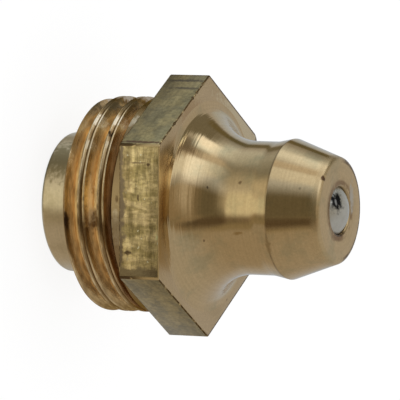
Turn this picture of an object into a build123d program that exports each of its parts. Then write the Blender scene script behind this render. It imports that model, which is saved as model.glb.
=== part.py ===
from build123d import *
import os
from math import cos, radians, sin, sqrt, tan

# A straight M10 x 1 grease nipple: a turned brass fitting with a spring-loaded check ball.
# The axis is +Z with the grease head at the top. The origin is the centre of the hexagon's
# seating face, which meets the housing when the nipple is screwed in.

# Hexagon
hex_across_flats = 10.5
hex_thickness = 2.0
worn_corner_radius = 0.55
worn_corner_angle = 120.0

# Thread: rolled into the shank below the hexagon, ending at a plain collar
thread_diameter = 10.0
thread_pitch = 1.0
thread_crest_width = 0.24
thread_root_width = 0.12
thread_flank_angle = 30.0
shank_length = 3.15
collar_length = 0.53
lead_width = 0.30
lead_length = 0.20
lead_offset = 0.12
groove_lead_in = 1.21
facing_allowance = 0.21

# Pilot: the plain spigot below the thread, with its rim rolled in over the spring retainer
pilot_diameter = 6.5
pilot_length = 1.94
pilot_edge_radius = 0.23
rim_thickness = 0.37
rim_overlap = 0.35

# Neck and head: each length follows on from the one before, up from the hexagon
flare_inset = 0.66
flare_length = 2.41
neck_length = 1.16
shoulder_length = 0.77
head_length = 2.26
head_diameter = 6.46
neck_undercut = 0.16
head_half_angle = 19.9
head_edge_radius = 0.25

# Ball valve in the head
ball_diameter = 3.0
ball_clearance = 0.05
seat_width = 0.4
tip_hole_land = 0.03
tip_hole_edge_radius = 0.1
contact_gap = 0.02

# Spring and retainer
spring_wire_diameter = 0.3
spring_clearance = 0.2
spring_coils = 11
closed_coil_gap = 0.04
retainer_thickness = 0.4
retainer_overhang = 0.55
retainer_clearance = 0.02
retainer_ledge = 0.35

# How far a cutting shape reaches past the face that it cuts
overcut = 0.1

# Levels along the axis
hex_top = hex_thickness
neck_level = hex_top + flare_length
shoulder_level = neck_level + neck_length
head_level = shoulder_level + shoulder_length
tip_level = head_level + head_length
pilot_end = -shank_length - pilot_length
retainer_bottom = pilot_end + rim_thickness
retainer_top = retainer_bottom + retainer_thickness

# Radii of the turned shape
head_radius = head_diameter / 2
neck_radius = head_radius - neck_undercut
tip_radius = head_radius - head_length * tan(radians(head_half_angle))
flare_base_radius = hex_across_flats / 2 - flare_inset
pilot_radius = pilot_diameter / 2

# Thread section
thread_radius = thread_diameter / 2
flank_slope = tan(radians(thread_flank_angle))
thread_depth = (thread_pitch - thread_crest_width - thread_root_width) / (2 * flank_slope)

# Ball and its seat, a cone that is tangent to the ball at the edge of the tip hole
ball_radius = ball_diameter / 2
bore_radius = ball_radius + ball_clearance
tip_hole_radius = ball_radius - seat_width
seat_level = tip_level - tip_hole_edge_radius - tip_hole_land
ball_drop = sqrt(ball_radius**2 - tip_hole_radius**2)
bore_top = seat_level - (bore_radius - tip_hole_radius) * tip_hole_radius / ball_drop
ball_level = seat_level - contact_gap - ball_drop

# Spring and the pocket of its retainer
wire_radius = spring_wire_diameter / 2
coil_radius = bore_radius - spring_clearance - wire_radius
closed_coil_pitch = spring_wire_diameter + closed_coil_gap
pocket_radius = bore_radius + retainer_overhang
retainer_hole_radius = coil_radius - wire_radius - retainer_ledge


def turned(outline):
    """A solid of revolution about Z from closed (radius, height) edges."""
    return revolve(Plane.XZ * make_face(outline), Axis.Z)


def rounded_turned(outline, corners):
    """As turned, with {(radius, height): fillet radius} rounding corners of the outline."""
    face = make_face(outline)
    for (radius, height), size in corners.items():
        corner = face.vertices().sort_by_distance((radius, height, 0))[0]
        face = fillet(corner, size)
    return revolve(Plane.XZ * face, Axis.Z)


def hexagon():
    """The spanner hexagon, with corners on the X axis and one corner worn round."""
    plate = extrude(RegularPolygon(hex_across_flats / 2, 6, major_radius=False), hex_thickness)
    direction = Vector(cos(radians(worn_corner_angle)), sin(radians(worn_corner_angle)), 0)
    corner_point = direction * hex_across_flats / sqrt(3)
    worn_edge = plate.edges().filter_by(Axis.Z).sort_by_distance(corner_point)[0]
    return fillet(worn_edge, worn_corner_radius)


def neck_and_head():
    """Flare, neck, shoulder and conical head above the hexagon."""
    neck_start = (neck_radius, neck_level)
    shoulder = (neck_radius, shoulder_level)
    tip = (tip_radius, tip_level)
    flare = TangentArc(neck_start, (flare_base_radius, hex_top), tangent=(0, -1))
    upper = Polyline(neck_start, shoulder, (head_radius, head_level), tip, (0, tip_level))
    lower = Polyline((flare_base_radius, hex_top), (0, hex_top), (0, tip_level))
    return rounded_turned([flare, upper, lower], {tip: head_edge_radius})


def pilot():
    """The plain spigot below the thread."""
    corner = (pilot_radius, pilot_end)
    outline = Polyline(
        (0, -shank_length),
        (pilot_radius, -shank_length),
        corner,
        (0, pilot_end),
        close=True,
    )
    return rounded_turned(outline, {corner: pilot_edge_radius})


def thread_groove():
    """The 60 degree helical groove of the thread, stopped by the collar's sloping side."""
    root_radius = thread_radius - thread_depth
    half_root = thread_root_width / 2
    half_mouth = half_root + (thread_depth + overcut) * flank_slope
    start_level = -shank_length - groove_lead_in
    section = Polyline(
        (root_radius, start_level - half_root),
        (root_radius, start_level + half_root),
        (thread_radius + overcut, start_level + half_mouth),
        (thread_radius + overcut, start_level - half_mouth),
        close=True,
    )
    path = Helix(thread_pitch, -start_level, thread_radius, center=(0, 0, start_level))
    groove = sweep(Plane.XZ * make_face(section), path=path, is_frenet=True)
    zone = turned(
        Polyline(
            (root_radius - overcut, start_level - thread_pitch),
            (thread_radius + 2 * overcut, start_level - thread_pitch),
            (thread_radius + 2 * overcut, 2 * overcut * flank_slope - collar_length),
            (root_radius - overcut, -(thread_depth + overcut) * flank_slope - collar_length),
            close=True,
        )
    )
    return groove & zone


def threaded_shank():
    """The thread between the collar and a lead chamfer that stands a little off its axis."""
    blank_length = shank_length + facing_allowance
    blank = Pos(0, 0, -blank_length / 2) * Cylinder(thread_radius, blank_length)
    lead_radius = thread_radius - lead_width
    lead_cone = turned(
        Polyline(
            (0, 0),
            (lead_radius + shank_length * lead_width / lead_length, 0),
            (lead_radius, -shank_length),
            (0, -shank_length),
            close=True,
        )
    )
    return (blank - thread_groove()) & Pos(-lead_offset, 0, 0) * lead_cone


def valve_passage():
    """The bore from the rolled rim to the tip hole, with the retainer pocket and ball seat."""
    rim_radius = pocket_radius - rim_overlap
    bore = Polyline(
        (0, pilot_end - overcut),
        (rim_radius, pilot_end - overcut),
        (rim_radius, retainer_bottom),
        (pocket_radius, retainer_bottom),
        (pocket_radius, retainer_top),
        (bore_radius, retainer_top),
        (bore_radius, bore_top),
        (tip_hole_radius, seat_level),
        (tip_hole_radius, tip_level + overcut),
        (0, tip_level + overcut),
        close=True,
    )
    return turned(bore)


def nipple_body():
    """The turned fitting: head, hexagon, thread and pilot, bored through for the valve."""
    body = hexagon() + neck_and_head() + threaded_shank() + pilot() - valve_passage()
    mouth = body.edges().filter_by(GeomType.CIRCLE).group_by(Axis.Z)[-1].sort_by(SortBy.RADIUS)[0]
    return fillet(mouth, tip_hole_edge_radius)


def check_ball():
    """The steel ball that closes the tip hole."""
    return Pos(0, 0, ball_level) * Sphere(ball_radius)


def valve_spring():
    """Compression spring with a closed coil at each end, from the retainer to the ball."""
    reach = ball_radius + wire_radius + contact_gap
    bottom = retainer_top + wire_radius + contact_gap
    top = ball_level - sqrt(reach**2 - coil_radius**2)
    active_length = top - bottom - 2 * closed_coil_pitch
    active_pitch = active_length / (spring_coils - 2)
    coils = Wire(
        [
            Helix(closed_coil_pitch, closed_coil_pitch, coil_radius, center=(0, 0, bottom)),
            Helix(active_pitch, active_length, coil_radius, center=(0, 0, bottom + closed_coil_pitch)),
            Helix(closed_coil_pitch, closed_coil_pitch, coil_radius, center=(0, 0, top - closed_coil_pitch)),
        ]
    )
    section = Plane(coils @ 0, z_dir=coils % 0) * Circle(wire_radius)
    return sweep(section, path=coils, is_frenet=True, transition=Transition.TRANSFORMED)


def spring_retainer():
    """Flat ring that carries the spring and lets grease through."""
    disc = Circle(pocket_radius - retainer_clearance) - Circle(retainer_hole_radius)
    return extrude(Pos(0, 0, retainer_bottom) * disc, retainer_thickness)


os.makedirs("parts", exist_ok=True)
for make in (nipple_body, check_ball, valve_spring, spring_retainer):
    export_step(make(), f"parts/{make.__name__}.step")
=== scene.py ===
import math

import bpy
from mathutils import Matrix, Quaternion, Vector


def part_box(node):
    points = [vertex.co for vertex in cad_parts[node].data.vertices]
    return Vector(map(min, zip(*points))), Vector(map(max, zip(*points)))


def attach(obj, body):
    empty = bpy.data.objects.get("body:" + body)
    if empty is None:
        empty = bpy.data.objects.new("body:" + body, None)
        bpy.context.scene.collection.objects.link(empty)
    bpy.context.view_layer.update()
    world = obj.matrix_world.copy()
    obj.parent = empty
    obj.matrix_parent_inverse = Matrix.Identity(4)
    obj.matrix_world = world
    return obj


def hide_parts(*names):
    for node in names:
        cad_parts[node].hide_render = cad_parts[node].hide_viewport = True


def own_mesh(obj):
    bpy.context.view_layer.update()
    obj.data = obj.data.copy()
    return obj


# A straight brass grease nipple: a turned body with a rolled thread, and the check ball, the
# spring and the spring retainer inside it. Lengths are in metres. The thread's axis is Z, with
# the grease head up, and Z = 0 is the seating face under the hexagon.
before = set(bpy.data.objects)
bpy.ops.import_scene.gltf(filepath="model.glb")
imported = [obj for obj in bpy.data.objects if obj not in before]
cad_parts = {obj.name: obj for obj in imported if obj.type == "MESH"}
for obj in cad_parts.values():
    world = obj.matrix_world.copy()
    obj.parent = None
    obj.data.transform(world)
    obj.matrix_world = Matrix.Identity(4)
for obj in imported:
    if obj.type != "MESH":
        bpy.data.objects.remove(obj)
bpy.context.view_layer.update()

# ---------------------------------------------------------------------------------------
# Hexagon. The body is machined from drawn hexagon bar of free-cutting brass. The flats keep
# the bar's own skin, with the marks of the die, of bundles and of spanners. The two end
# faces are turned, and the edges are dulled and nicked.
mm = 0.001
hex_across_flats = 10.5 * mm
hex_top = 2.0 * mm
hex_edge_round = 0.05 * mm
hex_corner_round = 0.16 * mm
worn_corner = 120
worn_corner_round = 0.55 * mm

flat_distance = hex_across_flats / 2
hex_corner_radius = hex_across_flats / math.sqrt(3)
bpy.ops.object.select_all(action="DESELECT")
bpy.ops.mesh.primitive_cylinder_add(
    vertices=6,
    radius=hex_corner_radius,
    depth=hex_top,
    location=(0, 0, hex_top / 2),
    rotation=(0, 0, math.pi / 6),
)
body = bpy.context.object
body.name = "nipple_body_brass"
bpy.ops.object.transform_apply(location=True, rotation=True, scale=True)


def select_edges(piece, wanted):
    """Edge mode, with the edges selected whose two ends pass the test."""
    bpy.ops.object.mode_set(mode="EDIT")
    bpy.ops.mesh.select_mode(type="EDGE")
    bpy.ops.mesh.select_all(action="DESELECT")
    bpy.ops.object.mode_set(mode="OBJECT")
    for edge in piece.data.edges:
        start, end = (piece.data.vertices[i].co for i in edge.vertices)
        edge.select = wanted(start, end)
    bpy.ops.object.mode_set(mode="EDIT")


def is_corner(start, end, angle):
    """Whether an edge is the hexagon's upright corner at the angle, in degrees."""
    tolerance = 5
    middle = start + end
    apart = math.degrees(math.atan2(middle.y, middle.x)) - angle
    upright = abs(start.z - end.z) > hex_top / 2
    return upright and abs((apart + 180) % 360 - 180) < tolerance


def node(tree, kind, inputs=None, **settings):
    """A new shader node. An input is set to its value, or linked if the value is a socket."""
    made = tree.nodes.new("ShaderNode" + kind)
    for setting, value in settings.items():
        setattr(made, setting, value)
    for socket, value in (inputs or {}).items():
        if isinstance(value, bpy.types.NodeSocket):
            tree.links.new(value, made.inputs[socket])
        else:
            made.inputs[socket].default_value = value
    return made


def metal(name, roughness):
    """A new metal, with its node tree, its shader and the place of each point."""
    made = bpy.data.materials.new(name)
    made.use_nodes = True
    tree = made.node_tree
    shader = tree.nodes["Principled BSDF"]
    shader.inputs["Metallic"].default_value = 1
    shader.inputs["Roughness"].default_value = roughness
    place = node(tree, "TexCoord").outputs["Object"]
    return made, tree, shader, place


def grain(tree, vector, per_mm, detail=3, roughness=0.55):
    """Noise with so many grains to the millimetre."""
    inputs = {"Vector": vector, "Scale": per_mm / mm, "Detail": detail, "Roughness": roughness}
    return node(tree, "TexNoise", inputs).outputs["Fac"]


def between(tree, value, low, high):
    """0 where the value is at low, 1 where it is at high, and smooth between them."""
    inputs = {"Value": value, "From Min": low, "From Max": high}
    return node(tree, "MapRange", inputs, interpolation_type="SMOOTHSTEP").outputs["Result"]


def mixed(tree, share, first, second, blend="MIX"):
    """The first colour, blended with the second by its share."""
    first = (*first, 1) if isinstance(first, tuple) else first
    second = (*second, 1) if isinstance(second, tuple) else second
    inputs = {"Factor": share, "A": first, "B": second}
    return node(tree, "Mix", inputs, data_type="RGBA", blend_type=blend).outputs["Result"]


def tinted(tree, colour, share, first, second):
    """The colour, multiplied by a tint that runs from the first to the second by its share."""
    return mixed(tree, 1.0, colour, mixed(tree, share, first, second), "MULTIPLY")


def maths(tree, operation, *values):
    """The result of a sum on numbers."""
    return node(tree, "Math", dict(enumerate(values)), operation=operation).outputs[0]


def vector_maths(tree, operation, *vectors, output="Vector"):
    """The result of a sum on vectors."""
    inputs = dict(enumerate(vectors))
    return node(tree, "VectorMath", inputs, operation=operation).outputs[output]


def stained(tree, colour, place, spot, size, tint):
    """The colour with a ragged stain of the tint. Its spot and its half-widths are in mm."""
    spot = [value * mm for value in spot]
    size = [value * mm for value in size]
    raggedness = 1.8
    from_spot = vector_maths(tree, "SUBTRACT", place, spot)
    scaled = vector_maths(tree, "DIVIDE", from_spot, size)
    wobble = node(tree, "TexNoise", {"Vector": place, "Scale": 5 / mm, "Detail": 3})
    spread, centring = [raggedness] * 3, [-raggedness / 2] * 3
    wobble = vector_maths(tree, "MULTIPLY_ADD", wobble.outputs["Color"], spread, centring)
    scaled = vector_maths(tree, "ADD", scaled, wobble)
    length = vector_maths(tree, "LENGTH", scaled, output="Value")
    return mixed(tree, between(tree, length, 1.2, 0.4), colour, tint)


# Drawn skin of the flats: fine streaks along the bar and marks across it. One flat, the one that
# faces the camera, has been rubbed bright on its high spots and is also painted brighter and
# yellower as a painted highlight; the others are dull and olive, partly as painted shade.
marks_per_mm = 2.6
streak_stretch = 4
score_stretch = 5
drawn_marks_depth = 0.008 * mm
flat_brass, tree, shader, place = metal("drawn_flat_brass", 0.24)
axes = node(tree, "SeparateXYZ", {0: place}).outputs
round_bar = maths(tree, "ARCTAN2", axes["Y"], axes["X"])
round_bar = maths(tree, "MULTIPLY", round_bar, flat_distance)
along_stretched = maths(tree, "MULTIPLY", axes["Z"], 1 / streak_stretch)
round_stretched = maths(tree, "MULTIPLY", round_bar, 1 / score_stretch)
streak_place = node(tree, "CombineXYZ", {"X": round_bar, "Y": along_stretched}).outputs[0]
score_place = node(tree, "CombineXYZ", {"X": round_stretched, "Y": axes["Z"]}).outputs[0]
streaks = grain(tree, streak_place, marks_per_mm, detail=4, roughness=0.65)
scores = grain(tree, score_place, marks_per_mm, detail=4, roughness=0.65)
woven = maths(tree, "ADD", streaks, scores)
bump = node(tree, "Bump", {"Height": woven, "Distance": drawn_marks_depth})
tree.links.new(bump.outputs[0], shader.inputs["Normal"])
# The flat that faces the camera: rubbed, and also painted brighter and yellower as a painted
# highlight
rubbed_and_sheen = between(tree, axes["Y"], -flat_distance + 0.15 * mm, -flat_distance + 0.05 * mm)
bright = mixed(tree, between(tree, streaks, 0.38, 0.64), (0.47, 0.38, 0.18), (0.84, 0.69, 0.40))
scored = between(tree, scores, 0.36, 0.62)
bright = tinted(tree, bright, scored, (0.6, 0.57, 0.5), (1.24, 1.2, 1.12))
# Painted glints: small bright specks on the flat that faces the camera
painted_glints = between(tree, grain(tree, place, 4.5, detail=2), 0.69, 0.76)
bright = mixed(tree, painted_glints, bright, (0.96, 0.9, 0.68))
dull = mixed(tree, between(tree, scores, 0.3, 0.7), (0.30, 0.245, 0.12), (0.42, 0.345, 0.18))
dull = mixed(tree, maths(tree, "MULTIPLY", streaks, 0.5), dull, (0.38, 0.30, 0.15))
patches = between(tree, grain(tree, place, 1.3, detail=4), 0.4, 0.6)
dull = tinted(tree, dull, patches, (0.82, 0.84, 0.84), (1.12, 1.1, 1))
skin = mixed(tree, rubbed_and_sheen, dull, bright)
fine = between(tree, grain(tree, place, 6), 0.3, 0.7)
skin = tinted(tree, skin, fine, (0.8, 0.8, 0.76), (1.14, 1.14, 1.1))

# The rubbed flat is duller by the seat and across its middle, and brightest by the upper face
shine = stained(tree, (1, 1, 1), place, (-1.4, -5.25, 0.3), (1.9, 0.3, 0.5), (0.66, 0.63, 0.62))
shine = stained(tree, shine, place, (0.2, -5.25, 1.0), (0.8, 0.3, 1.3), (0.82, 0.8, 0.82))
shine = stained(tree, shine, place, (1.7, -5.25, 1.85), (1.3, 0.3, 0.3), (1.35, 1.38, 1.45))
shine = stained(tree, shine, place, (-2.4, -5.25, 1.85), (0.6, 0.3, 0.3), (1.3, 1.32, 1.35))
skin = mixed(tree, 1.0, skin, shine, "MULTIPLY")

# Its edges stay dirty: ragged along the seating face, and wide at one corner
ragged_width = 0.7 * mm
ragged = maths(tree, "SUBTRACT", grain(tree, place, 2.4, detail=4), 0.5)
ragged = maths(tree, "MULTIPLY", ragged, ragged_width)
from_seat = maths(tree, "ADD", axes["Z"], ragged)
by_seat = maths(tree, "MULTIPLY", rubbed_and_sheen, between(tree, from_seat, 0.3 * mm, 0.12 * mm))
skin = mixed(tree, by_seat, skin, (0.24, 0.18, 0.11))
from_corner = maths(tree, "ADD", axes["X"], ragged)
in_corner = maths(tree, "MULTIPLY", rubbed_and_sheen, between(tree, from_corner, 2.5 * mm, 2.7 * mm))
skin = mixed(tree, in_corner, skin, (0.32, 0.25, 0.135))

# Dents on the rubbed flat that hold dirt, and dirty lines beside two corners
brown = (0.15, 0.10, 0.05)
skin = stained(tree, skin, place, (-2.14, -5.25, 1.47), (0.12, 0.1, 0.1), brown)
skin = stained(tree, skin, place, (-2.2, -5.25, 0.9), (0.05, 0.1, 0.5), (0.3, 0.22, 0.11))
skin = stained(tree, skin, place, (-0.62, -5.25, 0.96), (0.16, 0.1, 0.07), brown)
skin = stained(tree, skin, place, (1.87, -5.25, 0.44), (0.12, 0.1, 0.3), brown)
skin = stained(tree, skin, place, (-5.78, -0.48, 1.0), (0.12, 0.12, 1.4), (0.15, 0.12, 0.065))
skin = stained(tree, skin, place, (-5.45, -1.05, 1.3), (0.12, 0.12, 0.9), (0.17, 0.135, 0.07))
skin = stained(tree, skin, place, (-3.14, -5.06, 1.0), (0.1, 0.1, 1.4), (0.15, 0.08, 0.04))
tree.links.new(skin, shader.inputs["Base Color"])
body.data.materials.append(flat_brass)


def from_axis(tree, place):
    """The distance of each point from the axis, and its height."""
    outward = vector_maths(tree, "MULTIPLY", place, (1, 1, 0))
    radius = vector_maths(tree, "LENGTH", outward, output="Value")
    return radius, node(tree, "SeparateXYZ", {0: place}).outputs["Z"]


def turned_metal(name, colour, tarnish, roughness, marks_depth, marks_fade=None):
    """A turned metal with fine rings left by the tool. Also its tree, shader, tone and place."""
    made, tree, shader, place = metal(name, roughness)
    radius, height = from_axis(tree, place)
    ring = node(tree, "CombineXYZ", {"X": radius, "Y": height}).outputs[0]
    ring_waver = (0.03, 0.03, 0)
    ring = vector_maths(tree, "MULTIPLY_ADD", place, ring_waver, ring)
    marks = grain(tree, ring, 7, detail=1, roughness=0.5)
    deep = between(tree, grain(tree, ring, 0.9, detail=1), 0.3, 0.6)
    if marks_fade:
        deep = maths(tree, "MULTIPLY", deep, between(tree, height, *marks_fade))
    marks = maths(tree, "MULTIPLY", marks, deep)
    bump = node(tree, "Bump", {"Height": marks, "Distance": marks_depth})
    tree.links.new(bump.outputs[0], shader.inputs["Normal"])
    cloud = grain(tree, place, 0.7, detail=5, roughness=0.6)
    tone = mixed(tree, between(tree, cloud, 0.48, 0.68), colour, tarnish)
    fine = grain(tree, place, 8, detail=2)
    tone = tinted(tree, tone, fine, (0.86, 0.85, 0.82), (1.12, 1.12, 1.12))
    lines = grain(tree, ring, 9, detail=2)
    tone = tinted(tree, tone, lines, (0.88, 0.87, 0.85), (1.1, 1.1, 1.1))
    return made, tree, shader, tone, place


# Turned end faces, with a painted paler reflection on the far side, a painted orange-brown
# reflection of the flare by its foot, a painted dark rim of shade along the far flats and a few
# dark spots
face_brass, tree, shader, tone, place = turned_metal(
    "turned_face_brass", (0.62, 0.47, 0.26), (0.57, 0.43, 0.23), 0.22, marks_depth=0.001 * mm
)
# Painted reflection: a paler patch over the far side of the upper face
tone = stained(tree, tone, place, (-3.2, 3.2, 2.0), (3.6, 2.6, 1.0), (0.74, 0.62, 0.38))
toward_flat = 0.0
for flat in (30, 90, 150):
    outward = (math.cos(math.radians(flat)), math.sin(math.radians(flat)), 0)
    reach = vector_maths(tree, "DOT_PRODUCT", place, outward, output="Value")
    toward_flat = maths(tree, "MAXIMUM", maths(tree, "ABSOLUTE", reach), toward_flat)
# Painted shade: a dark rim along the far flats
rim = between(tree, toward_flat, flat_distance - 0.12 * mm, flat_distance - 0.07 * mm)
axes = node(tree, "SeparateXYZ", {0: place}).outputs
far_rim_shade = maths(tree, "MULTIPLY", rim, between(tree, axes["Y"], -0.8 * mm, 0.4 * mm))
tone = mixed(tree, far_rim_shade, tone, (0.12, 0.08, 0.045))
tone = stained(tree, tone, place, (-2.97, 5.14, 2.0), (0.2, 0.13, 0.3), (0.13, 0.09, 0.05))
# Painted reflection of the flare: an orange-brown patch on the face beside the flare's foot
tone = stained(tree, tone, place, (-4.3, -1.9, 2.0), (0.8, 1.4, 1.0), (0.50, 0.34, 0.16))
tone = stained(tree, tone, place, (4.41, 1.96, 2.0), (0.1, 0.12, 0.1), (0.2, 0.13, 0.07))
tree.links.new(tone, shader.inputs["Base Color"])
body.data.materials.append(face_brass)

# Edges: dulled and dark and worn bright in places, and painted bright as a highlight along the
# flat that faces the camera
edge_brass, tree, shader, place = metal("dulled_edge_brass", 0.35)
shader.inputs["Specular Tint"].default_value = (0.4, 0.3, 0.2, 1)
wear_and_highlight = between(tree, grain(tree, place, 3.5, detail=4), 0.48, 0.66)
axes = node(tree, "SeparateXYZ", {0: place}).outputs
# Painted highlight: the edges beside the flat that faces the camera are painted bright between 0.5
# and 1.5 mm up
rubbed_and_sheen = between(tree, axes["Y"], -flat_distance + 0.12 * mm, -flat_distance + 0.04 * mm)
rubbed_and_sheen = maths(tree, "MULTIPLY", rubbed_and_sheen, between(tree, axes["Z"], 0.5 * mm, 1.5 * mm))
wear_and_highlight = maths(tree, "MAXIMUM", wear_and_highlight, rubbed_and_sheen)
tone = mixed(tree, wear_and_highlight, (0.13, 0.085, 0.04), (0.66, 0.5, 0.24))
tree.links.new(tone, shader.inputs["Base Color"])
body.data.materials.append(edge_brass)

flat_slot, face_slot, edge_slot = range(3)
for polygon in body.data.polygons:
    polygon.material_index = face_slot if abs(polygon.normal.z) > 0.5 else flat_slot

# A bevel's offset for a round of the 120 degree corners is this share of the round's radius
round_to_offset = math.tan(math.radians(30))
select_edges(body, lambda start, end: is_corner(start, end, worn_corner))
worn_offset = worn_corner_round * round_to_offset
bpy.ops.mesh.bevel(offset=worn_offset, segments=10, material=flat_slot)
other_corners = [angle for angle in range(0, 360, 60) if angle != worn_corner]
select_edges(body, lambda start, end: any(is_corner(start, end, angle) for angle in other_corners))
corner_offset = hex_corner_round * round_to_offset
bpy.ops.mesh.bevel(offset=corner_offset, segments=4, material=edge_slot)
select_edges(body, lambda start, end: abs(start.z - end.z) < hex_top / 100)
bpy.ops.mesh.bevel(offset=hex_edge_round, segments=3, material=edge_slot)
bpy.ops.object.mode_set(mode="OBJECT")


def apply_modifier(piece, kind, **settings):
    """Adds a modifier to the piece and applies it."""
    bpy.ops.object.select_all(action="DESELECT")
    piece.select_set(True)
    bpy.context.view_layer.objects.active = piece
    modifier = piece.modifiers.new(kind.lower(), kind)
    for setting, value in settings.items():
        setattr(modifier, setting, value)
    bpy.ops.object.modifier_apply(modifier=modifier.name)


def combine(piece, tool, operation):
    """Joins the tool to the piece or cuts it away. Each face keeps its own material."""
    apply_modifier(
        piece,
        "BOOLEAN",
        object=tool,
        operation=operation,
        solver="EXACT",
        material_mode="TRANSFER",
        double_threshold=1e-8,
    )
    bpy.data.objects.remove(tool, do_unlink=True)


# Nicks that spanners left along one edge of the upper face, at distances from its corner
nick_radius = 0.1 * mm
nick_distances = (0.75 * mm, 1.5 * mm, 2.0 * mm, 4.2 * mm)
for distance in nick_distances:
    bpy.ops.object.select_all(action="DESELECT")
    bpy.ops.mesh.primitive_ico_sphere_add(
        subdivisions=2,
        radius=nick_radius,
        location=(distance / 2 - hex_corner_radius, -distance * math.sqrt(0.75), hex_top),
    )
    nick = bpy.context.object
    nick.data.materials.append(edge_brass)
    combine(body, nick, "DIFFERENCE")

# ---------------------------------------------------------------------------------------
# Head, neck and flare. They are turned from the same brass bar and burnished in one cut, down
# to the hexagon's face. The coupler's jaws grip under the head's edge, so the neck is
# undercut behind it.
turning_steps = 192
tip_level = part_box("nipple_body")[1].z
neck_radius = 3.07 * mm
neck_level = 4.41 * mm
shoulder_level = 5.57 * mm
head_radius = 3.23 * mm
head_level = 6.34 * mm
head_half_angle = 19.9
head_edge_round = 0.06 * mm
shoulder_round = 1.5 * mm
tip_edge_round = 0.25 * mm
flare_base_radius = 4.59 * mm
foot_round = 1.2 * mm


def turned(name, outline, steps=turning_steps):
    """A closed turned solid: a disc at the first (radius, height), drawn out ring by ring."""
    (radius, height), *rings = outline
    bpy.ops.object.select_all(action="DESELECT")
    bpy.ops.mesh.primitive_circle_add(
        vertices=steps, radius=radius, fill_type="NGON", location=(0, 0, height)
    )
    solid = bpy.context.object
    solid.name = name
    bpy.ops.object.transform_apply(location=True, rotation=True, scale=True)
    bpy.ops.object.mode_set(mode="EDIT")
    bpy.ops.mesh.select_all(action="SELECT")
    for next_radius, next_height in rings:
        rise = (0, 0, next_height - height)
        bpy.ops.mesh.extrude_region_move(TRANSFORM_OT_translate={"value": rise})
        growth = next_radius / radius
        bpy.ops.transform.resize(value=(growth, growth, 1), center_override=(0, 0, next_height))
        radius, height = next_radius, next_height
    bpy.ops.mesh.select_all(action="SELECT")
    bpy.ops.mesh.normals_make_consistent(inside=False)
    bpy.ops.object.mode_set(mode="OBJECT")
    return solid


def arc(centre, radius, start, end, steps):
    """Points of an arc in the (radius, height) plane, from the start angle to the end angle."""
    angles = [math.radians(start + (end - start) * i / steps) for i in range(steps + 1)]
    return [(centre[0] + radius * math.cos(a), centre[1] + radius * math.sin(a)) for a in angles]


def rounded(before, corner, after, radius, steps=6):
    """Points that round a corner of an outline, where the outline comes from before."""
    before, corner, after = Vector(before), Vector(corner), Vector(after)
    back, onward = (before - corner).normalized(), (after - corner).normalized()
    half = back.angle(onward) / 2
    centre = corner + (back + onward).normalized() * radius / math.sin(half)
    first = corner + back * radius / math.tan(half) - centre
    last = corner + onward * radius / math.tan(half) - centre
    turn = first.angle(last)
    points = []
    for i in range(steps + 1):
        part = i / steps
        ray = first * math.sin((1 - part) * turn) + last * math.sin(part * turn)
        points.append(tuple(centre + ray / math.sin(turn)))
    return points


flare_reach = flare_base_radius - neck_radius
flare_rise = neck_level - hex_top
flare_radius = (flare_reach**2 + flare_rise**2) / (2 * flare_reach)
flare_sweep = math.degrees(math.asin(flare_rise / flare_radius))
flare_centre = (neck_radius + flare_radius, neck_level)
foot_slope = math.radians(90 - flare_sweep)
foot = (flare_base_radius, hex_top)
beyond_foot = (flare_base_radius + mm, hex_top)
above_foot = (flare_base_radius - mm * math.cos(foot_slope), hex_top + mm * math.sin(foot_slope))
foot_turn = rounded(beyond_foot, foot, above_foot, foot_round)
foot_sweep = math.degrees(math.acos((flare_centre[0] - foot_turn[-1][0]) / flare_radius))
tip_radius = head_radius - (tip_level - head_level) * math.tan(math.radians(head_half_angle))
neck_top, head_edge = (neck_radius, shoulder_level), (head_radius, head_level)
tip_edge, tip_centre = (tip_radius, tip_level), (0, tip_level)

# The solid starts inside the hexagon, and its foot runs out a hair above the hexagon's face
root_reach = 0.4 * mm
foot_depth = 0.03 * mm
foot_step = 0.01 * mm
foot_lift = 0.001 * mm
head = turned(
    "head",
    [
        (flare_base_radius + root_reach, hex_top / 2),
        (foot_turn[0][0] + foot_step, hex_top - foot_depth),
    ]
    + [(radius, height + foot_lift) for radius, height in foot_turn[:-1]]
    + arc(flare_centre, flare_radius, 180 + foot_sweep, 180, steps=32)
    + rounded((neck_radius, neck_level), neck_top, head_edge, shoulder_round)
    + rounded(neck_top, head_edge, tip_edge, head_edge_round)
    + rounded(head_edge, tip_edge, tip_centre, tip_edge_round, steps=8),
)

# Burnished brass, rougher at the tip, with a dark line under the head's edge and a few pits
burnished_roughness = 0.1
tip_roughness = 0.32
head_brass, tree, shader, tone, place = turned_metal(
    "burnished_head_brass",
    (0.65, 0.49, 0.26),
    (0.535, 0.43, 0.235),
    burnished_roughness,
    marks_depth=0.016 * mm,
    marks_fade=(5.0 * mm, 2.0 * mm),
)
radius, height = from_axis(tree, place)
by_tip = between(tree, height, tip_level - 0.5 * mm, tip_level - 0.2 * mm)
rougher = tip_roughness - burnished_roughness
roughness = maths(tree, "MULTIPLY_ADD", by_tip, rougher, burnished_roughness)
tree.links.new(roughness, shader.inputs["Roughness"])
edge_distance = maths(tree, "ABSOLUTE", maths(tree, "SUBTRACT", height, head_level - 0.03 * mm))
under_edge = between(tree, edge_distance, 0.08 * mm, 0.0)
under_edge = maths(tree, "MULTIPLY", under_edge, grain(tree, place, 3, detail=4))
dark_brown = (0.2, 0.13, 0.06)
pit_brown = (0.3, 0.2, 0.1)
tone = mixed(tree, under_edge, tone, dark_brown)
tone = stained(tree, tone, place, (1.5, -2.8, 6.3), (0.5, 0.4, 0.14), (0.42, 0.3, 0.14))
tone = stained(tree, tone, place, (-1.3, -2.78, 4.88), (0.1, 0.1, 0.09), pit_brown)
tone = stained(tree, tone, place, (-1.06, -3.1, 3.4), (0.12, 0.1, 0.05), (0.2, 0.14, 0.07))
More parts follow.
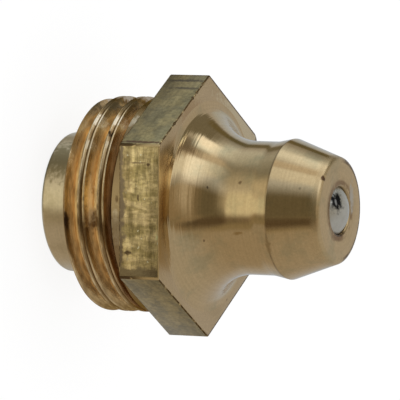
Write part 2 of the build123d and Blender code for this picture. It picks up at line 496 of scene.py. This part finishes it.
tone = stained(tree, tone, place, (0.99, -2.9, 4.87), (0.1, 0.2, 0.3), (0.45, 0.3, 0.12))
tone = stained(tree, tone, place, (1.36, -3.07, 3.2), (0.08, 0.08, 0.07), pit_brown)
tone = stained(tree, tone, place, (-1.55, -1.79, 8.56), (0.14, 0.14, 0.1), (0.14, 0.08, 0.04))
tone = stained(tree, tone, place, (-1.11, -2.5, 7.7), (0.08, 0.08, 0.08), (0.42, 0.31, 0.16))
tone = stained(tree, tone, place, (2.1, 2.3, 4.9), (0.12, 0.12, 0.1), pit_brown)
tone = stained(tree, tone, place, (0.4, 3.2, 3.4), (0.2, 0.1, 0.1), pit_brown)

# The tip face has brown rings of old grease round the hole, a painted dark rim of shade on the far
# side and a rubbed grey patch
on_tip = between(tree, height, tip_level - 0.1 * mm, tip_level - 0.03 * mm)
greasy = between(tree, grain(tree, place, 1.1, detail=3), 0.42, 0.6)
greasy = maths(tree, "MULTIPLY", greasy, between(tree, radius, 1.62 * mm, 1.2 * mm))
greasy = maths(tree, "MULTIPLY", greasy, on_tip)
tone = mixed(tree, greasy, tone, (0.36, 0.24, 0.11))
broken = between(tree, grain(tree, place, 2.5), 0.34, 0.5)
by_hole = maths(tree, "MULTIPLY", between(tree, radius, 1.46 * mm, 1.32 * mm), on_tip)
by_hole = maths(tree, "MULTIPLY", by_hole, broken)
tone = mixed(tree, by_hole, tone, (0.33, 0.21, 0.095))
# Painted shade: a broken dark line along the rounded edge of the tip, on the far side only
axes = node(tree, "SeparateXYZ", {0: place}).outputs
far_rim_shade = between(tree, axes["Y"], 0.0, 0.8 * mm)
far_rim_shade = maths(tree, "MULTIPLY", far_rim_shade, between(tree, radius, 2.16 * mm, 2.24 * mm))
far_rim_shade = maths(tree, "MULTIPLY", far_rim_shade, by_tip)
far_rim_shade = maths(tree, "MULTIPLY", far_rim_shade, broken)
tone = mixed(tree, far_rim_shade, tone, dark_brown)
tone = stained(tree, tone, place, (1.2, -0.25, 8.6), (0.18, 0.7, 0.2), (0.3, 0.18, 0.08))
tone = stained(tree, tone, place, (-0.5, 1.3, 8.6), (0.8, 0.25, 0.2), (0.58, 0.53, 0.42))
tree.links.new(tone, shader.inputs["Base Color"])
head.data.materials.append(head_brass)

# ---------------------------------------------------------------------------------------
# Pilot. The plain spigot below the thread is turned from the same bar, and its rim is rolled
# in over the spring retainer, which leaves the outer edge rounded.
pilot_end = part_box("nipple_body")[0].z
pilot_radius = 3.25 * mm
pilot_edge_round = 0.23 * mm
shank_end = -3.15 * mm
pilot_overlap = 0.5 * mm
pilot_edge = (pilot_radius, pilot_end)
pilot = turned(
    "pilot",
    rounded((0, pilot_end), pilot_edge, (pilot_radius, 0), pilot_edge_round, steps=8)
    + [(pilot_radius, shank_end + pilot_overlap)],
)

# Paler brass, with painted olive shade on one side
pilot_brass, tree, shader, tone, place = turned_metal(
    "turned_pilot_brass", (0.74, 0.62, 0.4), (0.62, 0.51, 0.31), 0.28, marks_depth=0.004 * mm
)
tone = stained(tree, tone, place, (-2.1, -2.4, -4.3), (1.2, 1.2, 1.6), (0.34, 0.27, 0.14))
tree.links.new(tone, shader.inputs["Base Color"])
pilot.data.materials.append(pilot_brass)

# ---------------------------------------------------------------------------------------
# Collar and thread. An M10 x 1 thread is rolled into the brass shank: the metal flows up into
# two rounded lips on each crest, with a seam between them. It ends at a plain collar under the
# hexagon.
collar_radius = 5.0 * mm
collar_end = -0.53 * mm
collar_edge_round = 0.04 * mm
collar_foot_depth = 0.8 * mm
collar_slope = math.tan(math.radians(33))
collar_steps = 176
collar_foot = (collar_radius - collar_foot_depth, collar_end - collar_foot_depth * collar_slope)
collar_edge = (collar_radius, collar_end)
collar = turned(
    "collar",
    [collar_foot]
    + rounded(collar_foot, collar_edge, (collar_radius, 0), collar_edge_round, steps=4)
    + [(collar_radius, hex_top / 4)],
    steps=collar_steps,
)

thread_pitch = 1.0 * mm
thread_radius = 4.992 * mm
thread_depth = 0.55 * mm
thread_turns = 6
root_width = 0.12 * mm
lip_round = 0.06 * mm
lip_offset = 0.13 * mm
lip_half_turn = 62
seam_depth = 0.07 * mm
first_crest = -4.86 * mm
thread_top = -0.2 * mm

root_radius = thread_radius - thread_depth
lip_centre = (thread_radius - lip_round, -lip_offset)
half_crest = [(root_radius, -thread_pitch / 2), (root_radius, -(thread_pitch - root_width) / 2)]
half_crest += arc(lip_centre, lip_round, -lip_half_turn, lip_half_turn, steps=8)
crest = half_crest + [(thread_radius - seam_depth, 0)]
crest += [(radius, -height) for radius, height in reversed(half_crest)]

bpy.ops.object.select_all(action="DESELECT")
bpy.ops.mesh.primitive_plane_add(
    size=thread_pitch, location=(root_radius, 0, first_crest - thread_pitch / 2)
)
thread = bpy.context.object
thread.name = "thread"
bpy.ops.object.transform_apply(location=True, rotation=True, scale=True)
bpy.ops.object.mode_set(mode="EDIT")
bpy.ops.mesh.select_mode(type="VERT")
bpy.ops.mesh.select_all(action="SELECT")
bpy.ops.mesh.merge(type="CENTER")
for (radius, height), (next_radius, next_height) in zip(crest, crest[1:]):
    step = (next_radius - radius, 0, next_height - height)
    bpy.ops.mesh.extrude_region_move(TRANSFORM_OT_translate={"value": step})
bpy.ops.object.mode_set(mode="OBJECT")
apply_modifier(
    thread,
    "SCREW",
    steps=turning_steps,
    render_steps=turning_steps,
    iterations=thread_turns,
    screw_offset=thread_pitch,
)
bpy.ops.object.mode_set(mode="EDIT")
bpy.ops.mesh.select_all(action="SELECT")
bpy.ops.mesh.remove_doubles(threshold=1e-7)
for level, above in ((shank_end, True), (thread_top, False)):
    bpy.ops.mesh.select_all(action="SELECT")
    bpy.ops.mesh.bisect(
        plane_co=(0, 0, level),
        plane_no=(0, 0, 1),
        use_fill=True,
        clear_inner=above,
        clear_outer=not above,
        threshold=1e-8,
    )
bpy.ops.mesh.select_all(action="SELECT")
bpy.ops.mesh.normals_make_consistent(inside=False)
bpy.ops.object.mode_set(mode="OBJECT")

# The lead: a short chamfer where the thread starts, a little off the thread's axis
lead_width = 0.30 * mm
lead_length = 0.20 * mm
lead_offset = 0.12 * mm
lead_reach = 0.4 * mm
lead_radius = collar_radius - lead_width
lead_step = lead_reach * lead_width / lead_length
lead = turned(
    "lead",
    [
        (lead_radius - lead_step, shank_end - lead_reach),
        (lead_radius + lead_step, shank_end + lead_reach),
        (lead_radius + lead_step, hex_top),
    ],
)
bpy.ops.transform.translate(value=(-lead_offset, 0, 0))
combine(thread, lead, "INTERSECT")

# Thread brass: bright lips, ochre flanks, and the brown oil and oxide that stay in the
# grooves and the seam. Its marks follow the helix, so they are laid out by the radius and the
# distance from the crest. The whole turns only keep the phase above zero.
marks_stretch = 0.22
rolled_marks_depth = 0.02 * mm
soil_depth = 0.6 * mm
whole_turns = 10
oxide_share = 0.45
seam_share = 0.7
thread_brass, tree, shader, place = metal("rolled_thread_brass", 0.24)
shader.inputs["Specular Tint"].default_value = (0.5, 0.38, 0.24, 1)
radius, height = from_axis(tree, place)
axes = node(tree, "SeparateXYZ", {0: place}).outputs
turn = maths(tree, "DIVIDE", maths(tree, "ARCTAN2", axes["Y"], axes["X"]), 2 * math.pi)
rise = maths(tree, "DIVIDE", maths(tree, "SUBTRACT", height, first_crest), thread_pitch)
rise = maths(tree, "ADD", rise, whole_turns + 0.5)
phase = maths(tree, "FRACT", maths(tree, "SUBTRACT", rise, turn))
from_crest = maths(tree, "SUBTRACT", phase, 0.5)
marks_across = maths(tree, "MULTIPLY", from_crest, thread_pitch)
marks_x = maths(tree, "MULTIPLY", axes["X"], marks_stretch)
marks_y = maths(tree, "MULTIPLY", axes["Y"], marks_stretch)
marks_place = node(tree, "CombineXYZ", {"X": radius, "Y": marks_across, "Z": marks_x}).outputs[0]
from_crest = maths(tree, "ABSOLUTE", from_crest)


def rolled(per_mm, detail=3):
    """Grain that is drawn out along the thread."""
    inputs = {"Vector": marks_place, "W": marks_y, "Scale": per_mm / mm}
    inputs |= {"Detail": detail, "Roughness": 0.6}
    return node(tree, "TexNoise", inputs, noise_dimensions="4D").outputs["Fac"]


bump = node(tree, "Bump", {"Height": rolled(5), "Distance": rolled_marks_depth})
tree.links.new(bump.outputs[0], shader.inputs["Normal"])
soil = rolled(1.8, detail=4)
in_groove = between(tree, radius, 4.88 * mm, 4.6 * mm)
metallic = maths(tree, "MULTIPLY_ADD", in_groove, -oxide_share, 1)
tree.links.new(metallic, shader.inputs["Metallic"])
soiled_radius = maths(tree, "ADD", radius, maths(tree, "MULTIPLY", soil, -soil_depth))
on_flank = between(tree, soiled_radius, 4.1 * mm, 4.5 * mm)
tone = mixed(tree, on_flank, (0.92, 0.61, 0.25), (0.54, 0.38, 0.185))
on_lip = between(tree, radius, 4.94 * mm, 4.985 * mm)
rubbed_and_sheen = maths(tree, "MULTIPLY", on_lip, between(tree, soil, 0.6, 0.48))
tone = mixed(tree, rubbed_and_sheen, tone, (0.78, 0.62, 0.38))
seam = between(tree, from_crest, 0.075, 0.03)
seam = maths(tree, "MULTIPLY", seam, between(tree, radius, 4.8 * mm, 4.9 * mm))
tone = mixed(tree, maths(tree, "MULTIPLY", seam, seam_share), tone, (0.24, 0.16, 0.075))
tone = mixed(tree, between(tree, soil, 0.5, 0.66), tone, (0.27, 0.175, 0.08))
# Painted shade: the groove next to the collar is darkened
shade_by_collar = between(tree, height, -0.95 * mm, -0.75 * mm)
tone = mixed(tree, shade_by_collar, tone, (0.33, 0.19, 0.085))
streaks = between(tree, rolled(7), 0.3, 0.7)
tone = tinted(tree, tone, streaks, (0.66, 0.62, 0.55), (1.2, 1.2, 1.15))
lead_part = between(tree, height, shank_end + 0.24 * mm, shank_end + 0.18 * mm)
tone = mixed(tree, lead_part, tone, (0.72, 0.54, 0.3))
on_collar = between(tree, height, collar_end - 0.03 * mm, collar_end + 0.03 * mm)
tone = mixed(tree, on_collar, tone, (0.39, 0.28, 0.14))

# Worn and stained places of the collar and the thread, painted light and shade on the thread, and
# then pits that hold dirt
tone = stained(tree, tone, place, (0.8, -4.95, -0.32), (1.0, 0.5, 0.3), (0.57, 0.46, 0.29))
# Painted shade and painted sheen: a dark band just below the thread's top silhouette, and a pale
# band along it
tone = stained(tree, tone, place, (-4.75, -1.6, -2), (0.5, 0.8, 3), (0.27, 0.21, 0.12))
tone = stained(tree, tone, place, (-5.05, 0.1, -2), (0.4, 1.0, 3), (0.88, 0.78, 0.64))
tone = stained(tree, tone, place, (0.5, -4.6, -1.55), (0.7, 0.5, 0.45), (0.24, 0.13, 0.045))
# Painted highlights: two upright pale bands across the crests and grooves, where a lamp's
# reflection would run
tone = stained(tree, tone, place, (-3.96, -2.97, -1.7), (0.45, 0.45, 2.4), (0.78, 0.66, 0.45))
tone = stained(tree, tone, place, (-2.9, -4.0, -2.0), (0.34, 0.3, 1.5), (0.62, 0.5, 0.31))
# Painted light: a golden glow on the flanks that face the camera
tone = stained(tree, tone, place, (-0.5, -4.7, -1.8), (1.4, 0.4, 0.3), (0.98, 0.74, 0.38))
# Painted highlight: a bright line along the lead's edge
tone = stained(tree, tone, place, (-2.3, -4.3, -2.97), (0.5, 0.3, 0.09), (0.98, 0.8, 0.5))
tone = stained(tree, tone, place, (-3.41, -3.65, -1.25), (0.18, 0.18, 0.18), (0.08, 0.05, 0.025))
tone = stained(tree, tone, place, (0.6, -4.9, -2.83), (0.55, 0.2, 0.2), (0.08, 0.05, 0.03))
tone = stained(tree, tone, place, (-0.49, -4.97, -0.27), (0.2, 0.1, 0.1), dark_brown)
tree.links.new(tone, shader.inputs["Base Color"])
thread.data.materials.clear()
thread.data.materials.append(thread_brass)
collar.data.materials.append(thread_brass)

# ---------------------------------------------------------------------------------------
# Valve passage. One bore, drilled through the brass from below, holds the spring and the
# ball. It ends in the ball's seat under the tip hole, and the retainer's pocket is at its
# lower end.
ball_low, ball_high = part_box("check_ball")
ball_radius = (ball_high.x - ball_low.x) / 2
retainer_low, retainer_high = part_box("spring_retainer")
ball_clearance = 0.05 * mm
seat_width = 0.4 * mm
seat_height = 0.485 * mm
mouth_round = 0.1 * mm
mouth_land = 0.03 * mm
retainer_clearance = 0.02 * mm
rim_overlap = 0.35 * mm
beyond = 0.2 * mm

bore_radius = ball_radius + ball_clearance
tip_hole_radius = ball_radius - seat_width
seat_level = tip_level - mouth_round - mouth_land
bore_top = seat_level - seat_height
pocket_radius = retainer_high.x + retainer_clearance
rim_radius = pocket_radius - rim_overlap
mouth_centre = (tip_hole_radius + mouth_round, tip_level - mouth_round)
passage = turned(
    "passage",
    [
        (rim_radius, pilot_end - beyond),
        (rim_radius, retainer_low.z),
        (pocket_radius, retainer_low.z),
        (pocket_radius, retainer_high.z),
        (bore_radius, retainer_high.z),
        (bore_radius, bore_top),
        (tip_hole_radius, seat_level),
    ]
    + arc(mouth_centre, mouth_round, 180, 90, steps=6)
    + [(mouth_centre[0], tip_level + beyond)],
)

# Drilled brass, with dark grease and painted shadow between the ball and one side of the hole
bore_brass, tree, shader, tone, place = turned_metal(
    "bored_brass", (0.5, 0.37, 0.19), (0.32, 0.22, 0.1), 0.3, marks_depth=0.006 * mm
)
tone = stained(tree, tone, place, (1.1, -0.3, 8.5), (0.5, 0.9, 0.4), (0.14, 0.08, 0.03))
tree.links.new(tone, shader.inputs["Base Color"])
passage.data.materials.append(bore_brass)

# One body: the turned and rolled lengths are joined to the hexagon, and the passage is cut
smooth_below = math.radians(22)
for part in (head, pilot, collar, thread):
    combine(body, part, "UNION")
combine(body, passage, "DIFFERENCE")
bpy.ops.object.select_all(action="DESELECT")
body.select_set(True)
bpy.context.view_layer.objects.active = body
bpy.ops.object.mode_set(mode="EDIT")
bpy.ops.mesh.select_all(action="SELECT")
bpy.ops.mesh.remove_doubles(threshold=1e-6)
bpy.ops.mesh.normals_make_consistent(inside=False)
bpy.ops.object.mode_set(mode="OBJECT")
bpy.ops.object.shade_smooth_by_angle(angle=smooth_below)
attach(body, "fitting")
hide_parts("nipple_body")

# ---------------------------------------------------------------------------------------
# Check ball. A hardened steel bearing ball that the spring holds up against its seat. The grease
# gun has worn it dull, and a near-black painted reflection, with a grey streak in it, lies on top.
polished_roughness = 0.25
scuff_roughness = 0.3
ball_steel, tree, shader, place = metal("dulled_ball_steel", polished_roughness)
tone = mixed(tree, grain(tree, place, 4, detail=4), (0.5, 0.49, 0.42), (0.68, 0.67, 0.58))
# Painted reflection: a near-black patch on top of the ball, with a grey streak in it
tone = stained(tree, tone, place, (-0.47, -0.62, 8.69), (0.55, 0.4, 0.45), (0.012, 0.012, 0.012))
tone = stained(tree, tone, place, (-0.44, -0.68, 8.68), (0.22, 0.06, 0.08), (0.3, 0.3, 0.28))
tree.links.new(tone, shader.inputs["Base Color"])
scuffs = grain(tree, place, 3, detail=5)
roughness = maths(tree, "MULTIPLY_ADD", scuffs, scuff_roughness, polished_roughness)
tree.links.new(roughness, shader.inputs["Roughness"])
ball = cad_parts["check_ball"]
ball.data.materials.clear()
ball.data.materials.append(ball_steel)

# ---------------------------------------------------------------------------------------
# Valve spring. A compression spring coiled from drawn steel wire, with a closed coil at each
# end. It stands on the retainer, and the ball pushes it short as it opens.
spring_foot, spring_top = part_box("valve_spring")
wire_radius = 0.15 * mm
coil_radius = spring_top.x - wire_radius
coils = 11
closed_pitch = 0.34 * mm
steps_per_coil = 28
wire_sides = 12
wire_smooth_below = math.radians(50)

spring_length = spring_top.z - spring_foot.z
active_pitch = (spring_length - 2 * wire_radius - 2 * closed_pitch) / (coils - 2)
bpy.ops.object.select_all(action="DESELECT")
bpy.ops.mesh.primitive_circle_add(
    vertices=wire_sides,
    radius=wire_radius,
    fill_type="NGON",
    location=(coil_radius, 0, spring_foot.z + wire_radius),
    rotation=(math.pi / 2, 0, 0),
)
spring = bpy.context.object
spring.name = "valve_spring_wire"
bpy.ops.object.transform_apply(location=True, rotation=True, scale=True)
bpy.ops.object.mode_set(mode="EDIT")
bpy.ops.mesh.select_all(action="SELECT")
for step in range(coils * steps_per_coil):
    closed = step < steps_per_coil or step >= (coils - 1) * steps_per_coil
    rise = (closed_pitch if closed else active_pitch) / steps_per_coil
    bpy.ops.mesh.extrude_region_move(TRANSFORM_OT_translate={"value": (0, 0, rise)})
    bpy.ops.transform.rotate(
        value=-2 * math.pi / steps_per_coil, orient_axis="Z", center_override=(0, 0, 0)
    )
bpy.ops.mesh.select_all(action="SELECT")
bpy.ops.mesh.normals_make_consistent(inside=False)
bpy.ops.object.mode_set(mode="OBJECT")
bpy.ops.object.shade_smooth_by_angle(angle=wire_smooth_below)

# Drawn wire: grey, oiled and finely marked, with darker oxide in patches
wire_steel, tree, shader, place = metal("drawn_wire_steel", 0.3)
oxide = grain(tree, place, 1.6, detail=5, roughness=0.65)
tone = mixed(tree, between(tree, oxide, 0.4, 0.66), (0.5, 0.5, 0.49), (0.2, 0.19, 0.18))
tree.links.new(tone, shader.inputs["Base Color"])
bump = node(tree, "Bump", {"Height": grain(tree, place, 12, detail=2), "Distance": 0.004 * mm})
tree.links.new(bump.outputs[0], shader.inputs["Normal"])
spring.data.materials.append(wire_steel)
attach(spring, "fitting")
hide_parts("valve_spring")
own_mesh(spring)

# ---------------------------------------------------------------------------------------
# Spring retainer. A flat ring punched from brass sheet, which the rolled rim of the pilot
# holds in its pocket. Grease passes through its hole.
ring_brass, tree, shader, place = metal("punched_ring_brass", 0.34)
sheet = grain(tree, place, 2.2, detail=5, roughness=0.6)
tone = mixed(tree, between(tree, sheet, 0.35, 0.68), (0.56, 0.42, 0.2), (0.34, 0.24, 0.12))
tree.links.new(tone, shader.inputs["Base Color"])
bump = node(tree, "Bump", {"Height": grain(tree, place, 9, detail=3), "Distance": 0.006 * mm})
tree.links.new(bump.outputs[0], shader.inputs["Normal"])
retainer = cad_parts["spring_retainer"]
retainer.data.materials.clear()
retainer.data.materials.append(ring_brass)

# ---------------------------------------------------------------------------------------
# Camera: a long lens that looks down on the head, turned on its side.
camera_azimuth = -3.754
camera_elevation = 25.55
camera_roll = 91.945
camera_distance = 205.7 * mm
camera_lens = 400
aim_right = 1.392 * mm
aim_up = 0.2255 * mm
toward_camera = Vector(
    (
        math.sin(math.radians(camera_azimuth)) * math.cos(math.radians(camera_elevation)),
        -math.cos(math.radians(camera_azimuth)) * math.cos(math.radians(camera_elevation)),
        math.sin(math.radians(camera_elevation)),
    )
)
camera = bpy.data.objects.new("camera", bpy.data.cameras.new("camera"))
bpy.context.scene.collection.objects.link(camera)
camera.data.lens = camera_lens
camera.data.clip_start = 10 * mm
camera_turn = toward_camera.to_track_quat("Z", "Y")
camera_turn = camera_turn @ Quaternion((0, 0, 1), math.radians(camera_roll))
right, up = camera_turn @ Vector((1, 0, 0)), camera_turn @ Vector((0, 1, 0))
camera.rotation_mode = "QUATERNION"
camera.rotation_quaternion = camera_turn
camera.location = right * aim_right + up * aim_up + toward_camera * camera_distance
bpy.context.scene.camera = camera

# ---------------------------------------------------------------------------------------
# Floor: white paper, which keeps the object's soft shadow.
floor_radius = 2000 * mm
floor_gap = 0.02 * mm
bpy.ops.object.select_all(action="DESELECT")
bpy.ops.mesh.primitive_circle_add(
    vertices=64, radius=floor_radius, fill_type="NGON", location=(0, 0, pilot_end - floor_gap)
)
floor = bpy.context.object
floor.name = "floor"
bpy.ops.object.transform_apply(location=True, rotation=True, scale=True)
floor.visible_glossy = False
paper = bpy.data.materials.new("floor_paper")
paper.use_nodes = True
tree = paper.node_tree
tree.nodes.clear()
paper_grey = (0.16, 0.16, 0.16, 1)
paper_glow = 0.86
diffuse = node(tree, "BsdfDiffuse", {"Color": paper_grey})
glow = node(tree, "Emission", {"Strength": paper_glow})
both = node(tree, "AddShader", {0: diffuse.outputs[0], 1: glow.outputs[0]})
node(tree, "OutputMaterial", {"Surface": both.outputs[0]})
floor.data.materials.append(paper)

# ---------------------------------------------------------------------------------------
# Studio: what the metal mirrors. A pale table lies below the level of the camera, a dark
# front stands behind it, two tall panes glow above, and a window shines from behind.
studio = bpy.data.worlds.new("studio")
bpy.context.scene.world = studio
studio.use_nodes = True
tree = studio.node_tree
tree.nodes.clear()
direction = node(tree, "TexCoord").outputs["Generated"]
inputs = {"Vector": direction, "Rotation": camera_turn.to_euler()}
aligned = node(tree, "Mapping", inputs, vector_type="TEXTURE").outputs[0]
sides = node(tree, "SeparateXYZ", {0: aligned}).outputs
angle = maths(tree, "DEGREES", maths(tree, "ARCTAN2", sides["Y"], sides["Z"]))
angle_behind = maths(tree, "FLOORED_MODULO", angle, 360)


# Every light is a soft-edged pane, placed by its angle about the camera's level axis, in
# degrees up from the camera, and by its place from left (-1) to right (1)
def edge(value, place, soft, rising, lean=0):
    """The share of light past an edge, whose place may lean from left to right."""
    if lean:
        value = maths(tree, "SUBTRACT", value, maths(tree, "MULTIPLY", sides["X"], lean))
    start, end = place - soft / 2, place + soft / 2
    return between(tree, value, start, end) if rising else between(tree, value, end, start)


def pane(light, colour, angles, soft, lean=(0, 0), left=None, right=None, measured=angle):
    """The light with one more pane in front of it. Its left and right are (place, softness)."""
    share = edge(measured, angles[0], soft[0], True, lean[0])
    share = maths(tree, "MULTIPLY", share, edge(measured, angles[1], soft[1], False, lean[1]))
    if left:
        share = maths(tree, "MULTIPLY", share, edge(sides["X"], *left, True))
    if right:
        share = maths(tree, "MULTIPLY", share, edge(sides["X"], *right, False))
    return mixed(tree, share, light, colour)


# The table, browner toward its far edge and warmer on the left
table = (0.475, 0.465, 0.477)
light = pane(table, (0.31, 0.26, 0.18), (-47, -31), (27, 8), lean=(23, -3))
light = pane(light, (0.41, 0.36, 0.31), (-134, -34), (22, 13), lean=(-2, 24), right=(0.21, 1.14))

# The dark front, with its darkest line at the table's edge and a paler part on the right
light = pane(light, (0.32, 0.26, 0.19), (-32, 27), (7, 9), lean=(-1, -4))
light = pane(light, (0.12, 0.09, 0.06), (-31, -16), (14, 5), (7, -10), (-0.75, 0.35), (0.80, 0.16))
light = pane(light, (0.55, 0.51, 0.47), (-26, 21), (29, 4), (33, 5), (0.43, 0.37), (0.77, 0.36))
light = pane(light, (0.16, 0.14, 0.10), (-16, 42), (13, 5), (2, 14), (-0.76, 0.23), (0.26, 0.61))

# The lower pane, a dim bar that darkens to the right, and the upper pane
light = pane(light, (0.64, 0.70, 0.84), (34, 64), (28, 5), lean=(8, -8))
light = pane(light, (0.89, 0.92, 0.99), (46, 70), (13, 5), lean=(-12, -10), left=(-0.38, 0.48))
light = pane(light, (1.41, 1.50, 1.75), (31, 64), (20, 3), (-2, 1), (0.33, 0.90), (0.71, 0.31))
light = pane(light, (0.69, 0.65, 0.63), (69, 81), (7, 6), lean=(-9, 9))
light = pane(light, (0.23, 0.19, 0.16), (53, 84), (7, 7), (18, 10), (0.57, 0.38), (0.98, 0.13))
light = pane(light, (0.84, 0.93, 1.07), (86, 120), (19, 20), (-7, -14), right=(0.71, 0.29))
light = pane(light, (1.36, 1.42, 1.62), (81, 106), (9, 4), (-2, 12), (0.18, 0.48), (0.67, 0.07))
light = pane(light, (1.3, 1.25, 1.15), (88, 108), (10, 10), left=(0.86, 0.08))

# The ceiling, the window behind, the shade on the left, and two lamps at the front left
light = pane(light, (0.21, 0.20, 0.17), (104, 146), (7, 7), lean=(-5, -9), left=(0.23, 0.59))
light = pane(
    light, (0.50, 0.55, 0.62), (147, 195), (13, 39), right=(0.6, 0.1), measured=angle_behind
)
light = pane(light, (0.17, 0.145, 0.08), (131, 144), (7, 6), (-6, -4), right=(0.6, 0.2))
light = pane(light, (0.25, 0.25, 0.23), (27, 154), (40, 29), lean=(-28, -11), right=(-0.34, 1.03))
light = pane(light, (0.65, 0.61, 0.53), (9, 52), (37, 32), lean=(29, -43), right=(-0.60, 0.66))
light = pane(light, (0.82, 0.80, 0.70), (-17, 40), (20, 24), right=(-0.71, 0.1))
mirrored = node(tree, "LightPath").outputs["Is Glossy Ray"]
seen = mixed(tree, mirrored, (1, 1, 1), light)
background = node(tree, "Background", {"Color": seen})
node(tree, "OutputWorld", {"Surface": background.outputs[0]})

bpy.context.scene.view_settings.view_transform = "Standard"
